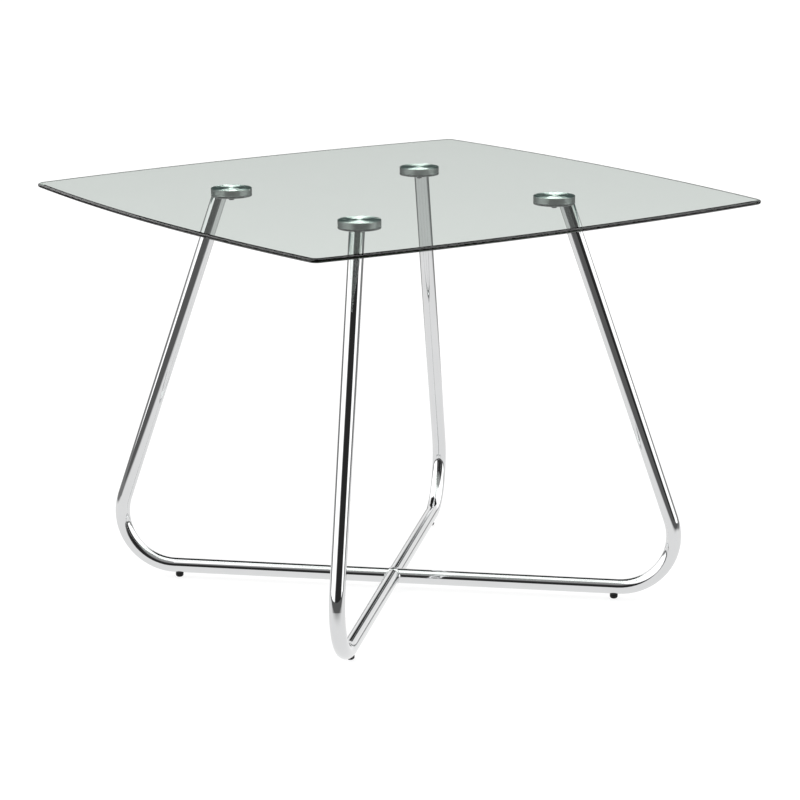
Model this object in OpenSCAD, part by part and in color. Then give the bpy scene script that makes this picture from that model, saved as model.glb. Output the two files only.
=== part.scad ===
// Square dining table: a tempered glass top on two crossed frames of chromed steel tube.
// Millimetres. The origin is on the floor under the middle of the top, +Z is up, and X and Y run
// along the sides of the top. The frames stand on its diagonals.

/* [Glass top] */
// Height of the top's upper face above the floor
table_h = 762; // [700:1:780]
// Width of the top across the middle of two opposite sides
top_w = 1016; // [900:1:1100]
// How far each side bows out past a straight line between its corners
side_bow = 28; // [15:1:45]
// Radius that rounds each corner in plan
corner_r = 16; // [16:4:24]
// Thickness of the glass, which is also the diameter of its rounded edge
glass_t = 8; // [6:1:12]

/* [Frames] */
// Outer diameter of the steel tube
tube_d = 28; // [25:1:32]
// Wall thickness of the steel tube
tube_wall = 1.5; // [1:0.1:2.5]
// Straight length of tube on the floor, from the middle of the table to the start of a bend
run_len = 428; // [380:1:460]
// Height of the floor tubes' axis above the floor
run_z = 23; // [22:0.5:30]
// Radius of each bend, at the tube's axis
bend_r = 102; // [80:1:120]
// Angle by which each leg leans in towards the middle
leg_lean = 19; // [12:0.5:22]
// Size of the weld bead round each half frame's end
weld_size = 2; // [1:0.1:3]

/* [Glass discs and leg plates] */
// Diameter of the disc glued under the glass
disc_d = 76; // [70:1:90]
// Thickness of the disc
disc_t = 11; // [10:0.5:14]
// Thickness of the plate welded on top of each leg
plate_t = 4; // [3:0.5:5]
// Thickness of the glue line between the glass and a disc
glue_t = 0.1; // [0.1:0.05:0.3]
// Distance from a disc's middle out to the leg's axis, at the underside of the plate
leg_offset = 23; // [22.5:0.1:24]

/* [Screws and washers] */
// Thread diameter of the disc screws
screw_d = 8; // [6:1:8]
// Length of screw thread inside the disc
screw_grip = 7; // [5:0.5:8]
// Diameter of the screw's button head
head_d = 14; // [10.5:0.1:14]
// Height of the screw's button head
head_h = 4.4; // [3.3:0.1:4.4]
// Width across the flats of the hexagon socket
socket_w = 5; // [4:0.5:5]
// Outer diameter of the spring washer
spring_washer_d = 14; // [12:0.1:14.8]
// Thickness of the spring washer
spring_washer_t = 2; // [1.5:0.1:2.2]
// Outer diameter of the flat washer
flat_washer_d = 15; // [13:0.1:15]
// Thickness of the flat washer
flat_washer_t = 1.2; // [1:0.1:1.6]

/* [Glides] */
// Distance from the middle of the table to each glide
glide_radius = 420; // [360:1:420]
// Outer diameter of the black pad
pad_d = 15; // [12:0.5:16]
// Diameter of the threaded stud
stud_d = 6; // [5:0.5:6]
// Length of stud that stands out of the top of the pad
stud_out = 18; // [15:0.5:20]
// Barrel diameter of the threaded insert in the tube
insert_d = 9; // [8:0.1:9]
// Length of the threaded insert above the tube's lowest line
insert_len = 12; // [10:0.5:14]

/* [Hidden] */

$fn = 96;

// Directions of the four corners of the table, about +Z
left = 135;
right = -45;
front = -135;
back = 45;

// Colours
chrome_colour = [0.80, 0.81, 0.82];
spun_colour = [0.66, 0.69, 0.68];
glass_colour = [0.78, 0.86, 0.83, 0.45];
black_colour = [0.06, 0.06, 0.06];
steel_colour = [0.45, 0.45, 0.45];

// Small gaps: a running fit, room between two pieces, and an overshoot that cuts right through
fit_gap = 0.05;
part_gap = 0.2;
overcut = 1;

// Glass outline: each side is one arc, and each corner is an arc tangent to two sides
top_half = top_w / 2;
corner_half = top_half - side_bow;
side_r = (corner_half * corner_half + side_bow * side_bow) / (2 * side_bow);
side_centre = side_r - top_half;
corner_centre = (sqrt(2 * pow(side_r - corner_r, 2) - side_centre * side_centre) - side_centre) / 2;
side_half_angle = atan2(corner_centre, corner_centre + side_centre);
side_fn = 720;
corner_fn = 256;
rim_fn = 48;

// Heights
glass_z = table_h - glass_t;
disc_top_z = glass_z - glue_t;
plate_top_z = disc_top_z - disc_t;
plate_z = plate_top_z - plate_t;
flat_washer_z = plate_z - flat_washer_t;
spring_washer_z = flat_washer_z - spring_washer_t;
head_z = spring_washer_z - head_h;

// Tube
tube_r = tube_d / 2;
bore_r = tube_r - tube_wall;
bend_fn = 192;
bend_end_x = run_len + bend_r * cos(leg_lean);
bend_end_z = run_z + bend_r + bend_r * sin(leg_lean);
leg_top_x = bend_end_x - (plate_z - bend_end_z) * tan(leg_lean);
leg_len = (plate_z - bend_end_z) / cos(leg_lean) + tube_d;
disc_x = leg_top_x - leg_offset;
tube_bottom_z = run_z - tube_r;
cope_gap = 0.2;
weld_crown_r = sqrt(2) * tube_r + 0.6 * weld_size;

// Screws
edge_chamfer = 0.5;
screw_len = spring_washer_t + flat_washer_t + plate_t + screw_grip;
thread_depth = screw_grip + 1;
head_tip_r = 4;
head_sphere_rise = (head_tip_r * head_tip_r + head_h * head_h - head_d * head_d / 4) / (-2 * head_h);
head_sphere_r = sqrt(head_d * head_d / 4 + head_sphere_rise * head_sphere_rise);
socket_depth = 2.6;
washer_slit = 1;
washer_slit_tilt = 25;
plate_hole_d = screw_d + 1;
flat_washer_hole_d = screw_d + 0.4;
spring_washer_hole_d = screw_d + 0.2;

// Glides
flange_t = 0.5;
flange_d = pad_d - 2;
insert_bulge_d = insert_d + 2.6;
insert_bulge_z = run_z - sqrt(bore_r * bore_r - insert_bulge_d * insert_bulge_d / 4) + part_gap;
insert_bulge_h = 2.5;
pad_h = tube_bottom_z - flange_t - part_gap;
pad_flat_r = 3;
pad_dome_r = pad_d / 2 - pad_flat_r;
pad_edge_r = 0.6;
stud_foot_z = 2.5;
stud_foot_d = 9;
stud_foot_h = 1.8;

// Puts what is drawn along +X out towards one corner of the table
module at_corner(direction) {
    rotate([0, 0, direction]) children();
}

// Section through the glass, from an arc's centre out to its half-round rim
module glass_rim_section(arc_r) {
    square([arc_r - glass_t / 2, glass_t]);
    translate([arc_r - glass_t / 2, glass_t / 2]) circle(d = glass_t, $fn = rim_fn);
}

// Puts the corner arc's centre at the origin, with +X along the line to where the arc begins
module at_corner_arc() {
    translate([-side_centre, 0, 0])
        rotate([0, 0, side_half_angle])
            translate([side_r - corner_r, 0, 0]) children();
}

// Half of one side of the glass: from the middle of the +X side round to the corner's diagonal
module glass_octant() {
    reach = 3 * corner_r;
    intersection() {
        translate([0, 0, -overcut])
            linear_extrude(glass_t + 2 * overcut)
                polygon([[0, 0], [top_w, 0], [top_w, top_w]]);
        union() {
            difference() {
                translate([-side_centre, 0, 0])
                    rotate_extrude($fn = side_fn) glass_rim_section(side_r);
                at_corner_arc()
                    translate([corner_r / 2, 0, -overcut])
                        cube([reach, reach, glass_t + 2 * overcut]);
            }
            at_corner_arc()
                difference() {
                    rotate_extrude($fn = corner_fn) glass_rim_section(corner_r);
                    translate([-reach, -reach, -overcut])
                        cube([2 * reach, reach, glass_t + 2 * overcut]);
                }
        }
    }
}

module glass_top() {
    color(glass_colour)
        translate([0, 0, glass_z])
            for (quarter = [0 : 3])
                rotate([0, 0, 90 * quarter]) {
                    glass_octant();
                    mirror([0, 1, 0]) glass_octant();
                }
}

// Round plate with a small chamfer on both edges
module chamfered_disc(radius, thickness, chamfer) {
    rotate_extrude()
        polygon([
            [0, 0], [radius - chamfer, 0], [radius, chamfer],
            [radius, thickness - chamfer], [radius - chamfer, thickness], [0, thickness]
        ]);
}

// Spun metal disc that is glued under the glass, with a blind threaded hole from below
module glass_disc() {
    color(spun_colour)
        translate([disc_x, 0, plate_top_z])
            difference() {
                chamfered_disc(disc_d / 2, disc_t, edge_chamfer);
                translate([0, 0, -overcut])
                    cylinder(d = screw_d + 2 * fit_gap, h = thread_depth + overcut);
            }
}

// Steel plate on top of a leg, with a clearance hole for the disc screw
module leg_plate() {
    color(chrome_colour)
        translate([disc_x, 0, plate_z])
            difference() {
                chamfered_disc(disc_d / 2, plate_t, edge_chamfer);
                translate([0, 0, -overcut])
                    cylinder(d = plate_hole_d, h = plate_t + 2 * overcut);
            }
}

// Button-head screw with a hexagon socket, seen from below the table
module disc_screw() {
    color(black_colour)
        translate([disc_x, 0, head_z])
            difference() {
                union() {
                    intersection() {
                        cylinder(d = head_d, h = head_h);
                        translate([0, 0, head_h + head_sphere_rise]) sphere(r = head_sphere_r);
                    }
                    translate([0, 0, head_h - fit_gap])
                        cylinder(d = screw_d, h = screw_len + fit_gap);
                }
                translate([0, 0, -overcut])
                    cylinder(d = socket_w / cos(30), h = socket_depth + overcut, $fn = 6);
            }
}

// Split spring washer under the screw's head
module spring_washer() {
    color(steel_colour)
        translate([disc_x, 0, spring_washer_z])
            difference() {
                cylinder(d = spring_washer_d, h = spring_washer_t);
                translate([0, 0, -overcut])
                    cylinder(d = spring_washer_hole_d, h = spring_washer_t + 2 * overcut);
                rotate([washer_slit_tilt, 0, 90])
                    translate([0, -washer_slit / 2, -spring_washer_t])
                        cube([spring_washer_d, washer_slit, 4 * spring_washer_t]);
            }
}

// Flat washer between the spring washer and the leg plate
module flat_washer() {
    color(steel_colour)
        translate([disc_x, 0, flat_washer_z])
            difference() {
                cylinder(d = flat_washer_d, h = flat_washer_t);
                translate([0, 0, -overcut])
                    cylinder(d = flat_washer_hole_d, h = flat_washer_t + 2 * overcut);
            }
}

// Solid bar along a floor tube from start_x out to the bend
module run_bar(radius, start_x) {
    translate([start_x, 0, run_z])
        rotate([0, 90, 0])
            cylinder(r = radius, h = run_len - start_x);
}

// Solid ring of which a quarter and a little more makes one bend, about the bend's own centre
module bend_ring(radius) {
    rotate([90, 0, 0])
        rotate_extrude($fn = bend_fn)
            translate([bend_r, 0]) circle(r = radius);
}

// Solid bar along one bend and one leg, which runs on past the leg plate
module bend_and_leg_bar(radius) {
    reach = 2 * bend_r;
    translate([run_len, 0, run_z + bend_r]) {
        difference() {
            bend_ring(radius);
            translate([-reach, -tube_d, -reach]) cube([reach, 2 * tube_d, 2 * reach]);
            rotate([0, -leg_lean, 0])
                translate([-reach, -tube_d, 0]) cube([2 * reach, 2 * tube_d, reach]);
        }
        rotate([0, -leg_lean, 0])
            translate([bend_r, 0, 0])
                cylinder(r = radius, h = leg_len);
    }
}

// Everything above the underside of the leg plates, where the legs are cut off level
module above_plates() {
    translate([0, 0, plate_z + tube_d]) cube([2 * top_w, 2 * tube_d, 2 * tube_d], center = true);
}

// Hole in the underside of a floor tube for a threaded insert
module insert_hole() {
    translate([glide_radius, 0, tube_bottom_z - overcut])
        cylinder(d = insert_d, h = tube_r);
}

// Frame that runs through: one tube, up to the left corner and up to the right corner
module main_frame() {
    color(chrome_colour)
        at_corner(right)
            difference() {
                union() {
                    run_bar(tube_r, -run_len);
                    for (side = [0, 180]) rotate([0, 0, side]) bend_and_leg_bar(tube_r);
                }
                union() {
                    run_bar(bore_r, -run_len);
                    for (side = [0, 180]) rotate([0, 0, side]) bend_and_leg_bar(bore_r);
                }
                above_plates();
                for (side = [0, 180]) rotate([0, 0, side]) insert_hole();
            }
}

// Solid bar in the place of the main frame's floor tube, seen from a half frame
module crossing_bar(radius) {
    translate([0, 0, run_z])
        rotate([90, 0, 0])
            cylinder(r = radius, h = 4 * tube_d, center = true);
}

// Half frame: one tube whose end is coped to fit round the main frame
module half_frame() {
    color(chrome_colour)
        difference() {
            union() {
                run_bar(tube_r, cope_gap);
                bend_and_leg_bar(tube_r);
            }
            union() {
                run_bar(bore_r, 0);
                bend_and_leg_bar(bore_r);
            }
            crossing_bar(tube_r);
            above_plates();
            insert_hole();
        }
}

// Weld bead that follows a half frame's coped end round the main frame
module cross_weld() {
    color(chrome_colour)
        difference() {
            intersection() {
                translate([cope_gap, 0, run_z])
                    rotate([0, 90, 0])
                        cylinder(r = tube_r + weld_size, h = tube_d);
                crossing_bar(tube_r + weld_size);
                translate([0, 0, run_z]) sphere(r = weld_crown_r);
            }
            crossing_bar(tube_r);
            translate([-tube_d, 0, run_z])
                rotate([0, 90, 0])
                    cylinder(r = tube_r, h = 4 * tube_d);
        }
}

// Threaded insert that is crimped into the underside of a floor tube
module foot_insert() {
    color(steel_colour)
        translate([glide_radius, 0, 0])
            difference() {
                union() {
                    difference() {
                        translate([0, 0, tube_bottom_z - flange_t])
                            cylinder(d = flange_d, h = 2 * flange_t + tube_wall);
                        translate([-tube_d, 0, run_z])
                            rotate([0, 90, 0])
                                cylinder(r = tube_r, h = 2 * tube_d);
                    }
                    translate([0, 0, tube_bottom_z - flange_t])
                        cylinder(d = insert_d - 2 * fit_gap, h = insert_len + flange_t);
                    translate([0, 0, insert_bulge_z])
                        cylinder(d = insert_bulge_d, h = insert_bulge_h);
                }
                translate([0, 0, tube_bottom_z - flange_t - overcut])
                    cylinder(d = stud_d, h = insert_len + flange_t + 2 * overcut);
            }
}

// Room in the pad for the moulded-in foot of its stud
module stud_room() {
    translate([0, 0, stud_foot_z - fit_gap])
        cylinder(d = stud_foot_d + 2 * fit_gap, h = stud_foot_h + 2 * fit_gap);
    translate([0, 0, stud_foot_z])
        cylinder(d = stud_d, h = pad_h);
}

// Black pad with a domed underside, moulded over the foot of its stud
module glide_pad() {
    color(black_colour)
        translate([glide_radius, 0, 0])
            difference() {
                rotate_extrude() {
                    square([pad_flat_r, pad_h]);
                    intersection() {
                        translate([pad_flat_r, pad_dome_r]) circle(r = pad_dome_r);
                        square([pad_d / 2, pad_h]);
                    }
                    translate([0, pad_dome_r])
                        square([pad_d / 2, pad_h - pad_dome_r - pad_edge_r]);
                    translate([0, pad_dome_r])
                        square([pad_d / 2 - pad_edge_r, pad_h - pad_dome_r]);
                    translate([pad_d / 2 - pad_edge_r, pad_h - pad_edge_r])
                        circle(r = pad_edge_r);
                }
                stud_room();
            }
}

// Steel stud that screws into the insert
module glide_stud() {
    color(steel_colour)
        translate([glide_radius, 0, stud_foot_z])
            union() {
                cylinder(d = stud_foot_d, h = stud_foot_h);
                cylinder(d = stud_d - 2 * fit_gap, h = pad_h - stud_foot_z + stud_out);
            }
}

glass_top();
at_corner(left) glass_disc();  // disc_left
at_corner(right) glass_disc();  // disc_right
at_corner(front) glass_disc();  // disc_front
at_corner(back) glass_disc();  // disc_back
at_corner(left) leg_plate();  // plate_left
at_corner(right) leg_plate();  // plate_right
at_corner(front) leg_plate();  // plate_front
at_corner(back) leg_plate();  // plate_back
at_corner(left) disc_screw();  // screw_left
at_corner(right) disc_screw();  // screw_right
at_corner(front) disc_screw();  // screw_front
at_corner(back) disc_screw();  // screw_back
at_corner(left) spring_washer();  // spring_washer_left
at_corner(right) spring_washer();  // spring_washer_right
at_corner(front) spring_washer();  // spring_washer_front
at_corner(back) spring_washer();  // spring_washer_back
at_corner(left) flat_washer();  // flat_washer_left
at_corner(right) flat_washer();  // flat_washer_right
at_corner(front) flat_washer();  // flat_washer_front
at_corner(back) flat_washer();  // flat_washer_back
main_frame();
at_corner(front) half_frame();  // half_frame_front
at_corner(back) half_frame();  // half_frame_back
at_corner(front) cross_weld();  // weld_front
at_corner(back) cross_weld();  // weld_back
at_corner(left) foot_insert();  // insert_left
at_corner(right) foot_insert();  // insert_right
at_corner(front) foot_insert();  // insert_front
at_corner(back) foot_insert();  // insert_back
at_corner(left) glide_pad();  // pad_left
at_corner(right) glide_pad();  // pad_right
at_corner(front) glide_pad();  // pad_front
at_corner(back) glide_pad();  // pad_back
at_corner(left) glide_stud();  // stud_left
at_corner(right) glide_stud();  // stud_right
at_corner(front) glide_stud();  // stud_front
at_corner(back) glide_stud();  // stud_back
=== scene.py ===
import math

import bmesh
import bpy
from mathutils import Matrix, Vector


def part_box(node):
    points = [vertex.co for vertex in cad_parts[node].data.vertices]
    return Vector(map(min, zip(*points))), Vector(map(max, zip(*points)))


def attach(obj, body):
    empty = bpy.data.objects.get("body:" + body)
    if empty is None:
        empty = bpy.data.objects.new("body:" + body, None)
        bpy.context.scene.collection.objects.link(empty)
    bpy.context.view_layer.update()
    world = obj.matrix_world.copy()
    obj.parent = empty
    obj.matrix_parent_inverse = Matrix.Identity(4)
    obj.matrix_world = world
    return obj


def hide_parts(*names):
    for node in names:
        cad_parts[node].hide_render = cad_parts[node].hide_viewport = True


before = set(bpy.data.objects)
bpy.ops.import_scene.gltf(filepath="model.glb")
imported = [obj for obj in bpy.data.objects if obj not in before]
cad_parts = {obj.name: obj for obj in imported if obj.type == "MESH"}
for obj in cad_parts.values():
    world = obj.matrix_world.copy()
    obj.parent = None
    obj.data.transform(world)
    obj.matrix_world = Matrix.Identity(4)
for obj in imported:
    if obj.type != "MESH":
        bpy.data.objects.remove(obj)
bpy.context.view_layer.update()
scene = bpy.context.scene
scene.view_settings.view_transform = "Standard"

CORNERS = ("left", "right", "front", "back")
WHITE = (1, 1, 1, 1)

# Camera: place in metres, angles in degrees, focal length in millimetres on a 36 mm sensor
CAMERA_PLACE = Vector((-2.7545, -4.0107, 1.5585))
CAMERA_HEADING = 55.352
CAMERA_DOWN = 13.766
CAMERA_ROLL = -0.333
CAMERA_LENS = 120.43


def make_camera():
    """The scene's camera, from its heading about +Z, its tilt down and its roll."""
    heading, down, roll = (math.radians(a) for a in (CAMERA_HEADING, CAMERA_DOWN, CAMERA_ROLL))
    forward = Vector((
        math.cos(down) * math.cos(heading),
        math.cos(down) * math.sin(heading),
        -math.sin(down),
    ))
    level_right = Vector((math.sin(heading), -math.cos(heading), 0))
    level_up = level_right.cross(forward)
    right = math.cos(roll) * level_right + math.sin(roll) * level_up
    up = math.cos(roll) * level_up - math.sin(roll) * level_right
    camera = bpy.data.objects.new("camera", bpy.data.cameras.new("camera"))
    camera.data.lens = CAMERA_LENS
    camera.data.sensor_width = 36
    camera.data.clip_end = 200
    placed = Matrix((right, up, -forward)).transposed().to_4x4()
    placed.translation = CAMERA_PLACE
    camera.matrix_world = placed
    scene.collection.objects.link(camera)
    scene.camera = camera


class Nodes:
    """A node tree that is written from nothing, with short calls for its nodes and links."""

    def __init__(self, owner):
        owner.use_nodes = True
        self.tree = owner.node_tree
        self.tree.nodes.clear()

    def add(self, kind, inputs=None, **settings):
        """Adds a node; an input is a plain value, or the output socket that feeds it."""
        node = self.tree.nodes.new("ShaderNode" + kind)
        for name, value in settings.items():
            setattr(node, name, value)
        for name, value in (inputs or {}).items():
            if isinstance(value, bpy.types.NodeSocket):
                self.tree.links.new(value, node.inputs[name])
            else:
                node.inputs[name].default_value = value
        return node

    def math(self, operation, a, b=0.0, c=0.0, clamp=False):
        node = self.add("Math", {0: a, 1: b, 2: c}, operation=operation, use_clamp=clamp)
        return node.outputs[0]

    def ramp(self, value, low, high, to_low, to_high):
        """Goes smoothly from to_low at low to to_high at high."""
        node = self.add(
            "MapRange",
            {"Value": value, "From Min": low, "From Max": high, "To Min": to_low, "To Max": to_high},
            interpolation_type="SMOOTHSTEP",
        )
        return node.outputs[0]

    def blend(self, share, first, second):
        """Goes from first to second as share goes from 0 to 1."""
        return self.math("MULTIPLY_ADD", share, self.math("SUBTRACT", second, first), first)

    def band(self, value, rise, fall):
        """1 between rise and fall, which are pairs of values that soften its ends, and 0 outside."""
        risen = self.ramp(value, *rise, 0.0, 1.0)
        return self.math("MULTIPLY", risen, self.ramp(value, *fall, 1.0, 0.0))

    def noise(self, where, scale, detail=4.0, roughness=0.55):
        node = self.add(
            "TexNoise",
            {"Vector": where, "Scale": scale, "Detail": detail, "Roughness": roughness},
        )
        return node.outputs["Fac"]

    def bump(self, height, strength, distance):
        node = self.add("Bump", {"Height": height, "Strength": strength, "Distance": distance})
        return node.outputs["Normal"]


def principled(name, **constants):
    """A new material with one Principled shader whose constant inputs are set on its sockets."""
    made = bpy.data.materials.new(name)
    nodes = Nodes(made)
    shader = nodes.add("BsdfPrincipled")
    for words, value in constants.items():
        title = words.replace("_", " ").title().replace("Ior", "IOR")
        shader.inputs[title].default_value = value
    output = nodes.add("OutputMaterial")
    nodes.tree.links.new(shader.outputs[0], output.inputs["Surface"])
    return made, nodes, shader


def tinted(nodes, factor, dark, light):
    """A colour between two others, by factor."""
    node = nodes.add("Mix", {"Factor": factor}, data_type="RGBA")
    node.inputs[6].default_value = (*dark, 1)
    node.inputs[7].default_value = (*light, 1)
    return node.outputs[2]


# Plating: its two tints, how fine its smudges and ripples are, its ripples' height in metres
# and its smoothest roughness
PLATING_TINTS = (0.66, 0.665, 0.67), (0.72, 0.725, 0.73)
SMUDGE_SCALE = 14.0
RIPPLE_SCALE = 260.0
RIPPLE_HEIGHT = 0.0004
PLATING_SMOOTHEST = 0.012


def chrome_material(name, roughest, ripple):
    """Bright plating: faint smudges in colour and roughness, and a very slight ripple."""
    made, nodes, shader = principled(name, metallic=1.0)
    where = nodes.add("TexCoord").outputs["Object"]
    smudge = nodes.noise(where, SMUDGE_SCALE)
    fine = nodes.noise(where, RIPPLE_SCALE)
    both = nodes.math("MULTIPLY_ADD", fine, 0.3, smudge)
    feed = {
        "Base Color": tinted(nodes, smudge, *PLATING_TINTS),
        "Roughness": nodes.ramp(both, 0.4, 0.9, PLATING_SMOOTHEST, roughest),
        "Normal": nodes.bump(fine, ripple, RIPPLE_HEIGHT),
    }
    for socket, source in feed.items():
        nodes.tree.links.new(source, shader.inputs[socket])
    return made


# Spun metal: its two tints, how fine its rings are, their height in metres and their roughness
SPUN_TINTS = (0.50, 0.53, 0.52), (0.74, 0.77, 0.76)
RING_SCALE = 150.0
RING_HEIGHT = 0.0002
RING_ROUGHNESS = 0.27, 0.35


def spun_material():
    """Spun metal: fine rings about the middle of each disc, which stretch its highlights."""
    made, nodes, shader = principled(
        "spun_metal", metallic=1.0, anisotropic=1.0, anisotropic_rotation=0.25)
    where = nodes.add("TexCoord").outputs["Generated"]
    centred = nodes.add("VectorMath", {0: where, 1: (0.5, 0.5, 0.5)}, operation="SUBTRACT").outputs[0]
    flat = nodes.add("VectorMath", {0: centred, 1: (1.0, 1.0, 0.0)}, operation="MULTIPLY").outputs[0]
    radius = nodes.add("VectorMath", {0: flat}, operation="LENGTH").outputs["Value"]
    rings = nodes.add(
        "TexNoise",
        {"W": radius, "Scale": RING_SCALE, "Detail": 6.0, "Roughness": 0.75},
        noise_dimensions="1D",
    ).outputs["Fac"]
    feed = {
        "Base Color": tinted(nodes, rings, *SPUN_TINTS),
        "Roughness": nodes.ramp(rings, 0.2, 0.8, *RING_ROUGHNESS),
        "Normal": nodes.bump(rings, 0.25, RING_HEIGHT),
        "Tangent": nodes.add("Tangent", direction_type="RADIAL", axis="Z").outputs[0],
    }
    for socket, source in feed.items():
        nodes.tree.links.new(source, shader.inputs[socket])
    return made


GRAIN_HEIGHT = 0.0002


def grained_material(name, dark, light, grain, depth, smooth, rough, **constants):
    """Blackened, zinc-plated or moulded surface: a grain in its colour, roughness and height."""
    made, nodes, shader = principled(name, **constants)
    where = nodes.add("TexCoord").outputs["Object"]
    speckle = nodes.noise(where, grain)
    feed = {
        "Base Color": tinted(nodes, speckle, dark, light),
        "Roughness": nodes.ramp(speckle, 0.25, 0.75, smooth, rough),
        "Normal": nodes.bump(speckle, depth, GRAIN_HEIGHT),
    }
    for socket, source in feed.items():
        nodes.tree.links.new(source, shader.inputs[socket])
    return made


GLASS_IOR = 1.52
GLASS_GREEN = 0.15, 0.70, 0.35
GLASS_DENSITY = 10.0
HAZE_SCALE = 7.0
HAZE_ROUGHEST = 0.012
# how much of bare glass's mirror image is kept at a low, raking angle: its share, and its brightness
RAKING_SHARE = 0.55
RAKING_LIGHT = 0.12


def glass_material():
    """Float glass, green through its depth, with a faint haze of cleaning marks.

    It mirrors as bare glass does from above and inside its rim. At a raking angle the mirror
    image is held back, so that the metal under the top stays clear.
    """
    made = bpy.data.materials.new("glass")
    nodes = Nodes(made)
    where = nodes.add("TexCoord").outputs["Object"]
    haze = nodes.ramp(nodes.noise(where, HAZE_SCALE), 0.55, 0.85, 0.0, HAZE_ROUGHEST)
    bent = nodes.add("BsdfRefraction", {"Color": WHITE, "IOR": GLASS_IOR, "Roughness": haze})
    fresnel = nodes.add("Fresnel", {"IOR": GLASS_IOR}).outputs[0]
    steep = nodes.ramp(fresnel, 0.10, 0.36, 1.0, 0.0)
    trapped = nodes.ramp(fresnel, 0.6, 1.0, 0.0, 1.0)
    bare = nodes.math("MAXIMUM", steep, trapped)
    share = nodes.math("MULTIPLY", fresnel, nodes.ramp(bare, 0.0, 1.0, RAKING_SHARE, 1.0))
    grey = nodes.ramp(bare, 0.0, 1.0, RAKING_LIGHT, 1.0)
    mirrored = nodes.add("BsdfGlossy", {"Color": grey, "Roughness": haze})
    both = nodes.add("MixShader", {0: share, 1: bent.outputs[0], 2: mirrored.outputs[0]})
    depth = nodes.add("VolumeAbsorption", {"Color": (*GLASS_GREEN, 1), "Density": GLASS_DENSITY})
    nodes.add("OutputMaterial", {"Surface": both.outputs[0], "Volume": depth.outputs[0]})
    return made


GLASS = glass_material()
CHROME = chrome_material("chrome", 0.035, 0.008)
WELD = chrome_material("chrome_weld", 0.22, 0.6)
SPUN = spun_material()
SCREW = grained_material("black_screw", (0.010, 0.010, 0.011), (0.035, 0.035, 0.037),
                         900.0, 0.3, 0.28, 0.45, metallic=0.6)
ZINC = grained_material("zinc_steel", (0.36, 0.37, 0.38), (0.52, 0.53, 0.54),
                        700.0, 0.3, 0.28, 0.42, metallic=1.0)
PLASTIC = grained_material("black_plastic", (0.005, 0.005, 0.005), (0.012, 0.012, 0.012),
                           1200.0, 0.35, 0.42, 0.6, metallic=0.0, specular_ior_level=0.15)

MATERIAL_OF = {
    "main_frame": CHROME, "half_frame": CHROME, "plate": CHROME, "weld": WELD, "disc": SPUN,
    "screw": SCREW, "spring_washer": ZINC, "flat_washer": ZINC, "insert": SCREW, "stud": ZINC,
    "pad": PLASTIC, "glass_top": GLASS,
}


def dress(name, obj):
    """Gives a CAD node the material of its kind."""
    kind = name.rsplit("_", 1)[0] if name.rsplit("_", 1)[-1] in CORNERS else name
    obj.data.materials.clear()
    obj.data.materials.append(MATERIAL_OF[kind])


# Glass outline: half widths at the middle of a side and at the corner, and the corner's radius
TOP_HALF = 0.508
CORNER_HALF = 0.480
CORNER_R = 0.016
GLASS_T = 0.008
SIDE_STEPS = 48
CORNER_STEPS = 20
RIM_STEPS = 12
RIM_LAND = 0.0006


def glass_outline():
    """Points round the top, each with the direction that faces outward there."""
    bow = TOP_HALF - CORNER_HALF
    side_r = (CORNER_HALF ** 2 + bow ** 2) / (2 * bow)
    side_centre = side_r - TOP_HALF
    corner_centre = (math.sqrt(2 * (side_r - CORNER_R) ** 2 - side_centre ** 2) - side_centre) / 2
    half_angle = math.atan2(corner_centre, corner_centre + side_centre)
    arcs = (
        (Vector((-side_centre, 0)), side_r, -half_angle, half_angle, SIDE_STEPS),
        (Vector((corner_centre,) * 2), CORNER_R, half_angle, math.pi / 2 - half_angle, CORNER_STEPS),
    )
    points = []
    for quarter in range(4):
        turn = Matrix.Rotation(quarter * math.pi / 2, 2)
        for centre, radius, begin, end, steps in arcs:
            for step in range(steps):
                angle = begin + (end - begin) * step / steps
                outward = Vector((math.cos(angle), math.sin(angle)))
                points.append((turn @ (centre + radius * outward), turn @ outward))
    return points


def make_glass():
    """The top with a smooth half-round rim all the way round."""
    low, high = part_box("glass_top")
    middle, rim_r = (low.z + high.z) / 2, GLASS_T / 2
    rings = [(rim_r + RIM_LAND, -rim_r)]
    for step in range(RIM_STEPS + 1):
        angle = math.pi * (step / RIM_STEPS - 0.5)
        rings.append((rim_r * (1 - math.cos(angle)), rim_r * math.sin(angle)))
    rings.append((rim_r + RIM_LAND, rim_r))
    outline = glass_outline()
    mesh = bmesh.new()
    loops = []
    for inset, rise in rings:
        loops.append([mesh.verts.new((*(p - inset * n), middle + rise)) for p, n in outline])
    for lower, upper in zip(loops, loops[1:]):
        for i in range(len(outline)):
            j = (i + 1) % len(outline)
            mesh.faces.new((lower[i], lower[j], upper[j], upper[i])).smooth = True
    mesh.faces.new(list(reversed(loops[0])))
    mesh.faces.new(loops[-1])
    data = bpy.data.meshes.new("glass_sheet")
    mesh.to_mesh(data)
    mesh.free()
    sheet = bpy.data.objects.new("glass_sheet", data)
    data.materials.append(GLASS)
    scene.collection.objects.link(sheet)
    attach(sheet, "table")
    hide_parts("glass_top")


HEADING = math.radians(CAMERA_HEADING)


def facing(nodes, vector):
    """How far a point or direction lies beyond the table, to its right and above it."""
    beyond = nodes.add("VectorMath", {0: vector, 1: (math.cos(HEADING), math.sin(HEADING), 0)},
                       operation="DOT_PRODUCT").outputs["Value"]
    right = nodes.add("VectorMath", {0: vector, 1: (math.sin(HEADING), -math.cos(HEADING), 0)},
                      operation="DOT_PRODUCT").outputs["Value"]
    above = nodes.add("SeparateXYZ", {"Vector": vector}).outputs["Z"]
    return beyond, right, above


STAGE_HALF = 60.0
FLOOR_HEIGHT = -0.001
REFLECTED_FLOOR_HEIGHT = -0.0005
FLOOR_GLOW = 0.84
SWEEP_NEAR_END = 0.13
SWEEP_FAR_END = 0.25


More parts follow.
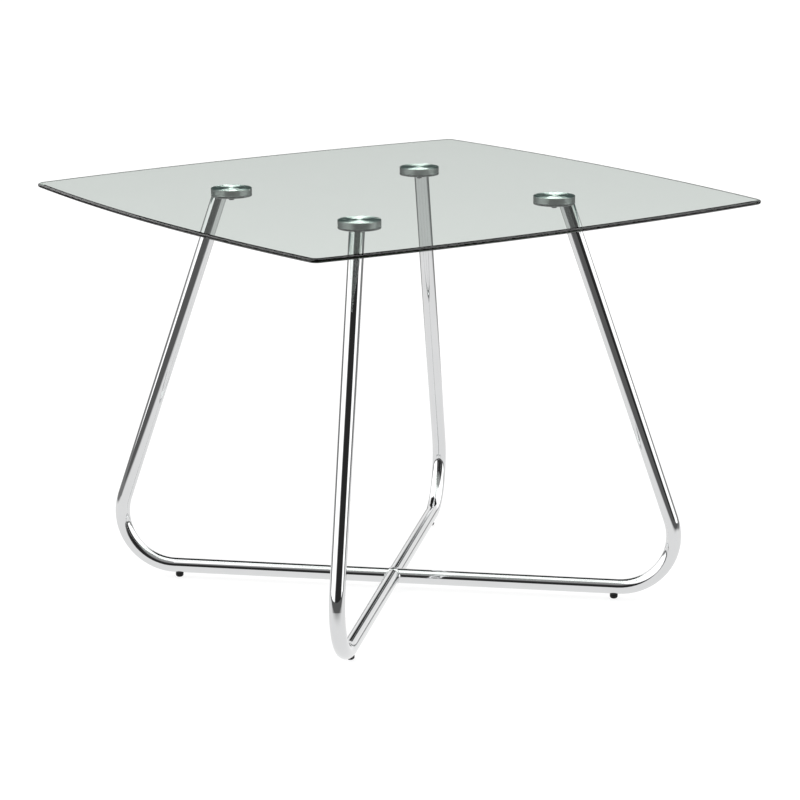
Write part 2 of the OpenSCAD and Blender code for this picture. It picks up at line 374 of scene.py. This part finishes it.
def plane(name, height, material):
    """A level square of the stage."""
    data = bpy.data.meshes.new(name)
    half = STAGE_HALF
    corners = [(-half, -half, height), (half, -half, height), (half, half, height), (-half, half, height)]
    data.from_pydata(corners, [], [(0, 1, 2, 3)])
    data.materials.append(material)
    made = bpy.data.objects.new(name, data)
    scene.collection.objects.link(made)
    return made


def make_floor():
    """A wide white floor that carries only a faint shadow."""
    made = bpy.data.materials.new("stage_floor")
    nodes = Nodes(made)
    where = nodes.add("TexCoord").outputs["Object"]
    paper = nodes.noise(where, 3.0)
    diffuse = nodes.add("BsdfDiffuse", {"Color": tinted(nodes, paper, (0.20,) * 3, (0.22,) * 3)})
    glow = nodes.add("Emission", {"Color": WHITE, "Strength": FLOOR_GLOW})
    both = nodes.add("AddShader", {0: diffuse.outputs[0], 1: glow.outputs[0]})
    nodes.add("OutputMaterial", {"Surface": both.outputs[0]})
    plane("stage_floor", FLOOR_HEIGHT, made)


def make_reflected_floor():
    """What only mirror images show below the horizon: a white sweep that ends in a dark studio."""
    made = bpy.data.materials.new("stage_reflected_floor")
    nodes = Nodes(made)
    where = nodes.add("TexCoord").outputs["Object"]
    beyond, _, _ = facing(nodes, where)
    # distances from the table's middle in metres: on the camera's side, then all round
    near_end = nodes.ramp(beyond, -1.0, -0.6, SWEEP_NEAR_END, 1.0)
    distance = nodes.add("VectorMath", {0: where}, operation="LENGTH").outputs["Value"]
    far_end = nodes.ramp(distance, 1.3, 2.2, 1.0, SWEEP_FAR_END)
    light = nodes.math("MINIMUM", near_end, far_end)
    glow = nodes.add("Emission", {"Color": WHITE, "Strength": light})
    nodes.add("OutputMaterial", {"Surface": glow.outputs[0]})
    card = plane("stage_reflected_floor", REFLECTED_FLOOR_HEIGHT, made)
    for ray in ("camera", "diffuse", "transmission", "volume_scatter", "shadow"):
        setattr(card, "visible_" + ray, False)


# Brightness of the studio as the plating reflects it
WHITE_WALL = 1.80
WALL_AHEAD = 1.02
SKIRTING = 0.25
BLACK_PANEL = 0.02
CAMERA_SIDE_LOW = 0.03
CAMERA_SIDE_HIGH = 0.40

# Brightness and tint of the studio as it reaches the metal under the top, through the glass
UNDER_TOP_LOW = 0.12
UNDER_TOP_HIGH = 0.50
UNDER_TOP_LAMP = 14.0
UNDER_TOP_TINT = (0.45, 1.0, 0.98)


def reflected_studio(nodes, height, bearing, aside):
    """White walls with a dark skirting and one black panel, and darkness on the camera's side.

    Angles are in degrees. Bearing is 0 straight beyond the table and grows to its right.
    """
    walls = nodes.ramp(aside, 25.0, 50.0, WALL_AHEAD, WHITE_WALL)
    walls = nodes.math("MAXIMUM", walls, nodes.ramp(height, 25.0, 40.0, 0.0, WHITE_WALL))
    skirting = nodes.math("MULTIPLY", nodes.ramp(height, 2.0, 6.0, 1.0, 0.0),
                          nodes.ramp(aside, 76.0, 90.0, 1.0, 0.0))
    walls = nodes.blend(skirting, walls, SKIRTING)
    past_edge = nodes.math("SUBTRACT", aside, nodes.ramp(height, 24.0, 34.0, 17.0, 40.0))
    panel = nodes.math("MULTIPLY", nodes.band(height, (15.0, 19.6), (62.0, 68.0)),
                       nodes.ramp(past_edge, -1.5, 1.5, 1.0, 0.0))
    walls = nodes.blend(panel, walls, BLACK_PANEL)
    from_left = nodes.ramp(bearing, -150.0, -140.0, 1.0, 0.0)
    from_right = nodes.ramp(bearing, 114.0, 126.0, 0.0, 1.0)
    camera_side = nodes.math("MAXIMUM", from_left, from_right)
    dark = nodes.ramp(height, 26.0, 48.0, CAMERA_SIDE_LOW, CAMERA_SIDE_HIGH)
    dark = nodes.blend(nodes.ramp(height, 66.0, 76.0, 0.0, 1.0), dark, WHITE_WALL)
    return nodes.blend(camera_side, walls, dark)


def studio_through_top(nodes, height, aside, studio):
    """Dark low down beyond the table, dim overhead, with one strong lamp straight ahead between.

    Gives its light, and the share of its tint.
    """
    behind_table = nodes.ramp(aside, 70.0, 90.0, 1.0, 0.0)
    dimmed = nodes.math("MAXIMUM", behind_table, nodes.ramp(height, 40.0, 60.0, 0.0, 1.0))
    dim = nodes.ramp(height, 30.0, 50.0, UNDER_TOP_LOW, UNDER_TOP_HIGH)
    light = nodes.blend(dimmed, studio, dim)
    lamp = nodes.math("MULTIPLY", nodes.band(height, (36.0, 50.0), (66.0, 76.0)),
                      nodes.ramp(aside, 22.0, 36.0, 1.0, 0.0))
    light = nodes.math("MULTIPLY_ADD", lamp, UNDER_TOP_LAMP, light)
    return light, nodes.math("MULTIPLY", behind_table, nodes.ramp(height, 36.0, 45.0, 1.0, 0.0))


def make_world():
    """A studio for mirror images, over a background that the camera sees as plain white."""
    world = bpy.data.worlds.new("studio")
    scene.world = world
    nodes = Nodes(world)
    vector = nodes.add("TexCoord").outputs["Generated"]
    beyond, right, above = facing(nodes, vector)
    height = nodes.math("MULTIPLY", nodes.math("ARCSINE", above), 180 / math.pi)
    bearing = nodes.math("MULTIPLY", nodes.math("ARCTAN2", right, beyond), 180 / math.pi)
    aside = nodes.math("ABSOLUTE", bearing)
    studio = reflected_studio(nodes, height, bearing, aside)
    through, cool = studio_through_top(nodes, height, aside, studio)
    path = nodes.add("LightPath")
    # metal seen through the top takes two faces of the glass, and its mirror image two more
    under_top = nodes.math("GREATER_THAN", path.outputs["Transmission Depth"], 2.5)
    tint = tinted(nodes, nodes.math("MULTIPLY", cool, under_top), (1, 1, 1), UNDER_TOP_TINT)
    light = nodes.blend(under_top, studio, through)
    lit = nodes.add("Background", {"Color": tint, "Strength": light})
    seen = nodes.add("Background", {"Color": WHITE, "Strength": 1.0})
    from_camera = path.outputs["Is Camera Ray"]
    both = nodes.add("MixShader", {0: from_camera, 1: lit.outputs[0], 2: seen.outputs[0]})
    nodes.add("OutputWorld", {"Surface": both.outputs[0]})


def make_light(name, place, size, power):
    """A square soft light that faces the table."""
    data = bpy.data.lights.new(name, "AREA")
    data.shape = "SQUARE"
    data.size = size
    data.energy = power
    light = bpy.data.objects.new(name, data)
    light.location = place
    light.rotation_mode = "QUATERNION"
    light.rotation_quaternion = (Vector((0, 0, 0.4)) - Vector(place)).to_track_quat("-Z", "Y")
    light.visible_glossy = False
    light.visible_transmission = False
    scene.collection.objects.link(light)


make_camera()
for name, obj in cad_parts.items():
    dress(name, obj)
make_glass()
make_floor()
make_reflected_floor()
make_world()
make_light("key_light", (-3.0, 1.0, 3.2), 2.4, 20)
make_light("fill_light", (2.4, -2.6, 2.6), 2.4, 10)
